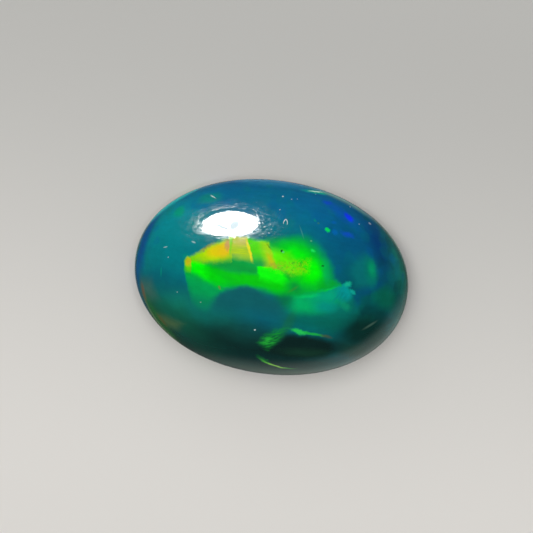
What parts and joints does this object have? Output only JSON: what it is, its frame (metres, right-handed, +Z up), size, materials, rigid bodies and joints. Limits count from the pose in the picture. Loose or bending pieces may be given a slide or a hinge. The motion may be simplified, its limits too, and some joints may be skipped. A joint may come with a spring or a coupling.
{
  "type": "black opal cabochon",
  "caption": "Oval black opal cabochon: a polished gemstone with a high domed top, a rounded girdle and a flat back that it rests on or is set by.",
  "frame": {"origin": "centre of the flat back, on the surface that the stone rests on", "axes": "+X along the stone's length, +Y across its width, +Z up through the dome"},
  "size_m": [0.014, 0.01, 0.0055],
  "materials": {
    "black_opal": "mirror polish over a dark blue-green body with green, yellow and blue play of colour"
  },
  "bodies": {
    "root": {"opal_cabochon": "black_opal"}
  },
  "joints": []
}
